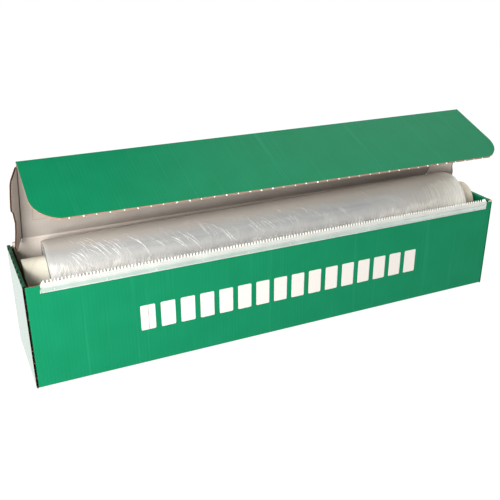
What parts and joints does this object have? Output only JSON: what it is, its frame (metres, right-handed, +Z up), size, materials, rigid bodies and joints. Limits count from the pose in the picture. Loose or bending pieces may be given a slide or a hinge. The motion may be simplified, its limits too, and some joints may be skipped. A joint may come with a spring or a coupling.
{
  "type": "cling film dispenser",
  "caption": "Folded corrugated carton with a hinged lid, long front flap and toothed plastic cutter, holding a wide roll of cling film on a paper core.",
  "frame": {"origin": "centre of the carton's underside, on the surface it stands on", "axes": "+X along the carton's length, to the right seen from the front; the printed front faces -Y; +Z up"},
  "size_m": [0.508, 0.1246, 0.1946],
  "materials": {
    "printed_board": "green flexo print outside, pale grey-beige liner inside, raw brown fluted edges",
    "cutter_plastic": "translucent, pale cyan",
    "film": "clear film, greyish white in many layers",
    "core_paper": "matt cream paper tube"
  },
  "bodies": {
    "carton": {"bottom_panel": "printed_board", "front_panel": "printed_board", "back_panel": "printed_board", "left_end_outer": "printed_board", "right_end_outer": "printed_board", "left_end_top_strip": "printed_board", "right_end_top_strip": "printed_board", "left_end_inner": "printed_board", "right_end_inner": "printed_board", "front_left_dust_flap": "printed_board", "front_right_dust_flap": "printed_board", "back_left_dust_flap": "printed_board", "back_right_dust_flap": "printed_board", "cutter_strip": "cutter_plastic", "cutter_stakes": "cutter_plastic"},
    "lid": {"lid_panel": "printed_board"},
    "front_flap": {"lid_front_flap": "printed_board"},
    "left_ear": {"lid_left_ear": "printed_board"},
    "right_ear": {"lid_right_ear": "printed_board"},
    "film_carrier": {"film_web": "film"},
    "roll": {"film_roll": "film", "paper_core": "core_paper"}
  },
  "joints": [
    {"name": "lid_hinge", "type": "hinge", "parent": "carton", "child": "lid", "pos_m": [0, 0.048, 0.1054], "axis": [-1, 0, 0], "range_deg": [-64.2, 40]},
    {"name": "flap_crease", "type": "hinge", "parent": "lid", "child": "front_flap", "pos_m": [0, 0.00565, 0.193], "axis": [1, 0, 0], "range_deg": [-83.6, 5.4]},
    {"name": "left_ear_crease", "type": "hinge", "parent": "lid", "child": "left_ear", "pos_m": [-0.2395, 0.048, 0.1054], "axis": [0, -0.4352, 0.9003], "range_deg": [-14.5, 23]},
    {"name": "right_ear_crease", "type": "hinge", "parent": "lid", "child": "right_ear", "pos_m": [0.2355, 0.048, 0.1054], "axis": [0, 0.4352, -0.9003], "range_deg": [-14.5, 23]},
    {"name": "roll_drop", "type": "slide", "parent": "carton", "child": "film_carrier", "axis": [0, 0, 1], "range_m": [-0.0381, 0.0239]},
    {"name": "roll_spin", "type": "hinge", "parent": "film_carrier", "child": "roll", "pos_m": [0, 0.0006, 0.0856], "axis": [0.999, -0.038, 0.025], "continuous": true}
  ],
  "couplings": [
    {"joint": "left_ear_crease", "follows": "lid_hinge", "ratio": -0.35047},
    {"joint": "right_ear_crease", "follows": "lid_hinge", "ratio": -0.35047},
    {"joint": "roll_drop", "follows": "lid_hinge", "m_per_rad": 0.033913}
  ]
}
